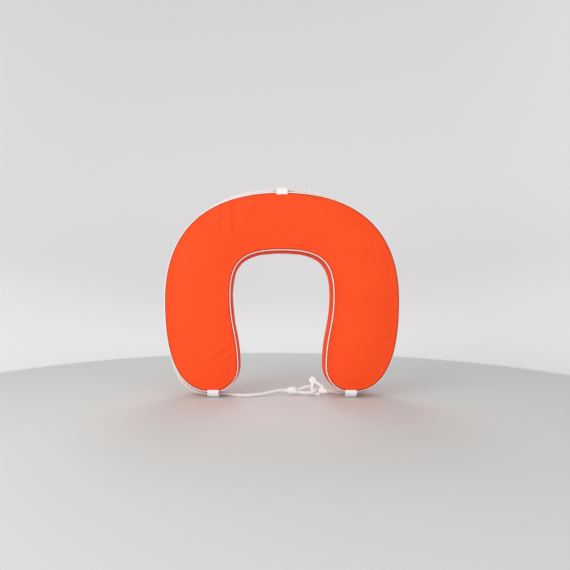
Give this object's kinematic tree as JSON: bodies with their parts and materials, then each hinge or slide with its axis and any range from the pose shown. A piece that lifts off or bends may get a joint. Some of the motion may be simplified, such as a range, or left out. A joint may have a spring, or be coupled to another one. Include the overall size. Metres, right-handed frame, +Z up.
{
  "type": "horseshoe lifebuoy",
  "caption": "Horseshoe lifebuoy: foam slabs in a piped fabric cover, with a rope grab line round its edge and a snap hook that closes the mouth.",
  "frame": {"origin": "on the ground under the middle of the buoy, between the two leg loops that it stands on", "axes": "+Z up towards the top of the arch, +X to the right across the width, front panel facing -Y"},
  "size_m": [0.6516, 0.108, 0.5662],
  "materials": {
    "cover_fabric": "semi-matt coated fabric, fine weave",
    "piping": "soft white vinyl",
    "foam": "closed-cell foam",
    "webbing": "woven tape",
    "rope": "three-strand laid rope",
    "hook_moulding": "moulded, satin",
    "stainless": "plain"
  },
  "bodies": {
    "buoy": {"front_panel": "cover_fabric", "rear_panel": "cover_fabric", "outer_gusset": "cover_fabric", "inner_gusset": "cover_fabric", "front_piping": "piping", "rear_piping": "piping", "front_foam": "foam", "middle_foam": "foam", "rear_foam": "foam", "top_rope_loop": "webbing", "left_rope_loop": "webbing", "right_rope_loop": "webbing", "grab_line": "rope", "left_tail": "rope", "eye_splice": "rope", "rope_eye": "rope", "right_tail": "rope", "hook_body": "hook_moulding", "gate_pin": "stainless", "gate_spring": "stainless"},
    "gate": {"hook_gate": "hook_moulding"}
  },
  "joints": [
    {"name": "gate_swing", "type": "hinge", "parent": "buoy", "child": "gate", "pos_m": [0.08589, -0.00008, 0.0415], "axis": [0.0523, 0.9986, 0], "range_deg": [0, 20], "stiffness_Nm_per_rad": 0.02, "springref_deg": -11.46}
  ]
}
